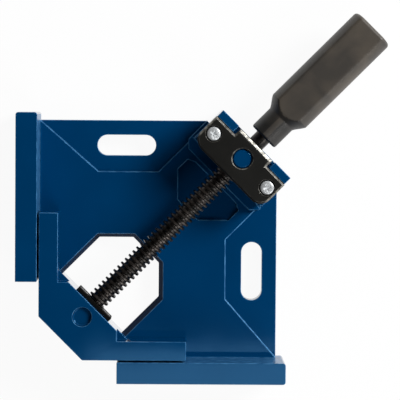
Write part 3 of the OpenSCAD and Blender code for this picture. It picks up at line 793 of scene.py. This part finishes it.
class CLAMP_OT_cover_plate(ClampStep, Operator):
    """Coats the cover plate, with pale bare steel along its bevels as painted highlight"""
    bl_idname = "corner_clamp.cover_plate"
    bl_label = "Cover plate"

    def execute(self, context):
        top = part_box("cover_plate")[1].z
        back = reach_of("cover_plate")[1]
        pivot = middle_of("swivel_nut")
        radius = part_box("swivel_nut")[1].x - pivot.x
        edges = self.settings.edges

        def chamfered(place):
            """Whether a place lies on the tongue's upper back edge or the rim of the hole over the nut's pivot."""
            return abs(place.z - top) < WELD and (place.dot(ALONG) > back
                                                  or (place - pivot).xy.length < radius)

        def bare(place, normal):
            """The third finish, bright bare steel as painted highlight, for the bevels that face the lamp."""
            return 2 if BEVEL_STEEP < normal.z < BEVEL_FLAT and normal.dot(ALONG) > BEVEL_FRONT else None

        def lengthened(place):
            """The move that draws the tongue's end back."""
            return ALONG * (edges.tongue if place.dot(ALONG) > back - WELD else 0)

        piece = eased("cover_plate", "cover", edges.plate, [black_coating, faint_edge_highlight, bright_bevel_highlight], bare,
                      rim=(chamfered, edges.rim), drawn=lengthened)
        hand_in(piece, "frame", "cover_plate")
        return {"FINISHED"}


class CLAMP_OT_cover_screws(ClampStep, Operator):
    """Makes the two domed pan-head screws with their cross recesses"""
    bl_idname = "corner_clamp.cover_screws"
    bl_label = "Cover screws"

    def execute(self, context):
        s = self.settings.screws
        solid, cutters = bmesh.new(), []
        crown = s.head_radius * 4
        for side, turn in ((-1, 20), (1, 62)):
            middle, low, high = half_of("cover_screws", side)
            place = Matrix.Translation((middle.x, middle.y, 0)) @ Matrix.Rotation(math.radians(turn), 4, "Z")
            seat = high.z - s.head_height
            dome = [(crown * math.sin(math.radians(a)), high.z - crown * (1 - math.cos(math.radians(a))))
                    for a in (10.5, 8, 5, 2)]
            shoulder = s.head_radius - crown * math.sin(math.radians(10.5))
            turned(solid, [(s.shaft_radius * 0.8, low.z), (s.shaft_radius, low.z + 0.5 * MM),
                           (s.shaft_radius, seat), (s.head_radius * 0.97, seat),
                           (s.head_radius, seat + 0.15 * MM)]
                   + arc(s.head_radius - shoulder, dome[0][1] - shoulder, shoulder, 0, 72, 5) + dome, 64, place)
            cutters.append(cross_recess(s.cross_length, s.cross_width, s.cross_depth, high.z, place))
        piece = carved("cover_pan_screws", solid, cutters, [bright_zinc, bare_recess])
        hand_in(piece, "frame", "cover_screws")
        return {"FINISHED"}


class CLAMP_OT_swivel_nut(ClampStep, Operator):
    """Paints the swivelling nut"""
    bl_idname = "corner_clamp.swivel_nut"
    bl_label = "Swivel nut"

    def execute(self, context):
        piece = eased("swivel_nut", "nut", self.settings.edges.turned, [stove_enamel])
        hand_in(piece, "nut", "swivel_nut")
        return {"FINISHED"}


# How squarely a face of the jaw looks along the screw to be its front wall
FRONT_WALL = 0.98
# Steps by which the pivot's end is cupped: width in millimetres and share of the cup's depth
CUP_STEPS = ((0.15, 0.0), (0.2, 0.15), (0.15, 0.6), (0.25, 0.25))


class CLAMP_OT_jaw(ClampStep, Operator):
    """Paints the swinging jaw and its pivot pin"""
    bl_idname = "corner_clamp.jaw"
    bl_label = "Jaw and pivot"

    def execute(self, context):
        edges = self.settings.edges
        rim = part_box("swing_jaw")[1].z - edges.casting * 2

        def below(place, normal):
            """The third finish for the front wall, and the plain one for the edges below the top, which so get no
            painted edge highlight.
            """
            if normal.dot(ALONG) > FRONT_WALL:
                return 2
            return 0 if place.z < rim else None

        jaw = eased("swing_jaw", "jaw", edges.casting, [stove_enamel, edge_highlight_enamel, wet_enamel], below)
        hand_in(jaw, "jaw", "swing_jaw")
        pivot = eased("jaw_pivot", "pivot", edges.pivot, [stove_enamel])
        form = bmesh.new()
        form.from_mesh(pivot.data)
        end = max(form.faces, key=lambda face: face.calc_center_median().z)
        for wall, fall in CUP_STEPS:
            bmesh.ops.inset_individual(form, faces=[end], thickness=wall * MM, depth=-edges.cup * fall)
        form.to_mesh(pivot.data)
        form.free()
        hand_in(pivot, "carriage", "jaw_pivot")
        return {"FINISHED"}


# One turn of the thread from root to root: share of the pitch, share of the depth
RIDGE_SHARES = ((0.0, 0.0), (0.20, 0.06), (0.31, 0.9), (0.36, 1.0), (0.64, 1.0), (0.69, 0.9), (0.80, 0.06))


class CLAMP_OT_spindle(ClampStep, Operator):
    """Rolls the trapezoidal thread between the spindle's journal and its shank"""
    bl_idname = "corner_clamp.spindle"
    bl_label = "Spindle"

    def execute(self, context):
        t = self.settings.thread
        start, end = reach_of("spindle")
        groove, groove_end = reach_of("retaining_clip")
        places = [(v.co.dot(ALONG), (v.co - on_screw(v.co.dot(ALONG))).length)
                  for v in frame["nodes"]["spindle"].data.vertices]
        crest = max(r for _, r in places)
        shank = max(r for u, r in places if u > end - t.pitch)
        thread_start = min(u for u, r in places if r > shank)
        thread_end = max(u for u, r in places if r > shank * 1.02)
        journal = max(r for u, r in places if u < groove)
        form = bmesh.new()
        # The helix, laid out as columns of points that climb by one pitch on their way round the axis
        turns = math.ceil((thread_end - thread_start) / t.pitch) + 2
        columns = []
        for i in range(t.facets + 1):
            first = thread_start - t.pitch * (1 - i / t.facets)
            columns.append([form.verts.new(on_screw(first + t.pitch * (k + at), crest - t.depth * (1 - high),
                                                    2 * math.pi * i / t.facets))
                            for k in range(turns) for at, high in RIDGE_SHARES])
        for near, far in zip(columns, columns[1:]):
            for i in range(len(near) - 1):
                form.faces.new((near[i], far[i], far[i + 1], near[i + 1]))
        bmesh.ops.remove_doubles(form, verts=form.verts, dist=WELD)
        for at, out in ((thread_start, -1), (thread_end, 1)):
            bmesh.ops.bisect_plane(form, geom=form.verts[:] + form.edges[:] + form.faces[:], dist=WELD / 4,
                                   plane_co=on_screw(at), plane_no=ALONG * out, clear_outer=True)
            # The thread runs out under a short cone
            for vert in form.verts:
                along = vert.co.dot(ALONG)
                radial = vert.co - on_screw(along)
                most = crest - t.depth * 0.6 + abs(along - at)
                if radial.length > most:
                    vert.co -= radial * (1 - most / radial.length)
        bmesh.ops.holes_fill(form, edges=[e for e in form.edges if e.is_boundary], sides=0)
        # Journal with the groove of the clip, and the shank that carries the handle
        lay = Matrix.Translation((0, 0, AXIS_Z)) @ upright(ALONG)
        bevel = 0.6 * MM
        neck = journal - (groove_end - groove) / 2
        turned(form, [(journal - bevel, start), (journal, start + bevel), (journal, groove), (neck, groove),
                      (neck, groove_end), (journal, groove_end), (journal, thread_start + t.pitch)], 48, lay)
        turned(form, [(shank, thread_end - t.pitch), (shank, end - bevel), (shank - bevel, end)], 48, lay)
        bmesh.ops.recalc_face_normals(form, faces=form.faces)
        piece = piece_from("screw", form, [black_oxide], crease=math.radians(35))
        hand_in(piece, "spindle", "spindle")
        return {"FINISHED"}


class CLAMP_OT_handle(ClampStep, Operator):
    """Moulds the handle: a collar, a cone and a round grip with two flats, all with soft edges"""
    bl_idname = "corner_clamp.handle"
    bl_label = "Handle"

    def execute(self, context):
        h = self.settings.handle
        start, end = reach_of("handle_grip")
        end -= h.end_gap
        bore = max((v.co - on_screw(v.co.dot(ALONG))).length for v in frame["nodes"]["spindle"].data.vertices
                   if v.co.dot(ALONG) > end - h.grip_radius * 4)
        cone, grip = start + h.collar_length, start + h.collar_length + h.shoulder_length
        lip = 0.6 * MM
        # Place along the screw, radius of the round sides and how far the surface has drawn in from its full size
        rings = [(start + h.mouth_depth, bore, 0), (start + h.mouth_depth, h.mouth_radius - lip, 0),
                 (start + lip / 2, h.mouth_radius, 0), (start, h.mouth_radius + lip / 2, 0),
                 (start, h.collar_radius - lip * 2, 0)]
        rings += [(z, r, 0) for r, z in arc(h.collar_radius - lip * 2, start + lip * 2, lip * 2, -90, 0, 4)[1:]]
        steps = 9
        for i in range(steps + 1):
            rise = i / steps
            rings.append((cone + (grip - cone) * rise, h.collar_radius + (h.grip_radius - h.collar_radius)
                          * (rise * rise * (3 - 2 * rise) * 0.35 + rise * 0.65), 0))
        rings += [(grip + (end - h.end_rounding - grip) * i / 10, h.grip_radius, 0) for i in range(1, 11)]
        for i in range(1, 7):
            a = math.pi / 2 * i / 6
            rings.append((end - h.end_rounding * (1 - math.sin(a)), h.grip_radius, h.end_rounding * (1 - math.cos(a))))
        facets = 120
        form = bmesh.new()
        points = []
        for along, radius, drawn in rings:
            ring = []
            for i in range(facets):
                turn = 2 * math.pi * i / facets
                flat = (h.half_thickness - drawn) / max(abs(math.sin(turn)), 0.05)
                ring.append(on_screw(along, blended(radius - drawn, flat, h.blend), turn - h.turn))
            points.append(ring)
        skin(form, points)
        bmesh.ops.recalc_face_normals(form, faces=form.faces)
        form.normal_update()
        # The collar and the cone take the darker nylon as painted shade, all but the faces of the upper flat
        for face in form.faces:
            face.material_index = int(face.calc_center_median().dot(ALONG) < grip and face.normal.z < FLAT_TOP)
        piece = piece_from("grip", form, [moulded_nylon, collar_nylon_shaded], crease=math.radians(50))
        hand_in(piece, "spindle", "handle_grip")
        return {"FINISHED"}


# Height of the normal from which a face belongs to the grip's upper flat, which keeps the grip's nylon without the
# painted shade
FLAT_TOP = 0.985


def blended(one, other, width):
    """The smaller of two sizes, rounded where they cross."""
    near = max(width - abs(one - other), 0) / width if width else 0
    return min(one, other) - near * near * width / 4


class CLAMP_OT_thrust_plate(ClampStep, Operator):
    """Coats the thrust plate and sinks its two screws, which have cross recesses"""
    bl_idname = "corner_clamp.thrust_plate"
    bl_label = "Thrust plate"

    def execute(self, context):
        plate = eased("thrust_plate", "thrust", self.settings.edges.plate, [dull_coating])
        hand_in(plate, "jaw", "thrust_plate")
        solid, cutters = bmesh.new(), []
        for side, turn in ((-1, 15), (1, 50)):
            middle = half_of("thrust_screws", side)[0]
            low, high = reach_of("thrust_screws", side)
            points = [(v.co.dot(ALONG), (v.co - middle - ALONG * (v.co - middle).dot(ALONG)).length)
                      for v in frame["nodes"]["thrust_screws"].data.vertices if v.co.dot(ACROSS) * side > 0]
            head = max(r for _, r in points)
            shaft = max(r for u, r in points if u < low + (high - low) / 4)
            place = (Matrix.Translation(middle - ALONG * middle.dot(ALONG)) @ upright(ALONG)
                     @ Matrix.Rotation(math.radians(turn), 4, "Z"))
            brim = 0.15 * MM
            turned(solid, [(shaft * 0.8, low), (shaft, low + brim * 2), (shaft, high - (head - shaft) - brim),
                           (head, high - brim), (head - brim, high)], 48, place)
            cutters.append(cross_recess(head * 1.2, head * 0.26, head * 0.5, high, place))
        screws = carved("thrust_plate_screws", solid, cutters, [black_oxide])
        hand_in(screws, "jaw", "thrust_screws")
        return {"FINISHED"}


class CLAMP_OT_retaining_clip(ClampStep, Operator):
    """Blackens the clip that holds the spindle in the jaw's pivot"""
    bl_idname = "corner_clamp.retaining_clip"
    bl_label = "Retaining clip"

    def execute(self, context):
        piece = eased("retaining_clip", "clip", self.settings.edges.clip, [black_oxide])
        hand_in(piece, "spindle", "retaining_clip")
        return {"FINISHED"}


STEPS = (CLAMP_OT_camera, CLAMP_OT_stage, CLAMP_OT_base_casting, CLAMP_OT_cover_plate, CLAMP_OT_cover_screws,
         CLAMP_OT_swivel_nut, CLAMP_OT_jaw, CLAMP_OT_spindle, CLAMP_OT_handle, CLAMP_OT_thrust_plate,
         CLAMP_OT_retaining_clip)


class CLAMP_PT_sidebar(Panel):
    """Lists the steps and the sizes and colours that they use"""
    bl_idname = "CLAMP_PT_sidebar"
    bl_label = "Corner Clamp"
    bl_space_type = "VIEW_3D"
    bl_region_type = "UI"
    bl_category = "Corner Clamp"

    def draw(self, context):
        settings = context.scene.corner_clamp
        steps = self.layout.column(align=True)
        for step in STEPS:
            steps.operator(step.bl_idname)
        for group in ("edges", "thread", "handle", "screws", "colours"):
            box = self.layout.box()
            box.label(text=group.capitalize())
            chosen = getattr(settings, group)
            for name in chosen.bl_rna.properties.keys():
                if name not in ("rna_type", "name"):
                    box.prop(chosen, name)


CLASSES = (ClampColours, ClampEdges, ClampThread, ClampHandle, ClampScrews, ClampSettings, *STEPS,
           CLAMP_PT_sidebar)


def register():
    for kind in CLASSES:
        bpy.utils.register_class(kind)
    bpy.types.Scene.corner_clamp = PointerProperty(type=ClampSettings)


def unregister():
    del bpy.types.Scene.corner_clamp
    for kind in reversed(CLASSES):
        bpy.utils.unregister_class(kind)


def main():
    register()
    for step in STEPS:
        group, name = step.bl_idname.split(".")
        if getattr(getattr(bpy.ops, group), name)() != {"FINISHED"}:
            raise RuntimeError(step.bl_label + " could not finish")


if __name__ == "__main__":
    main()
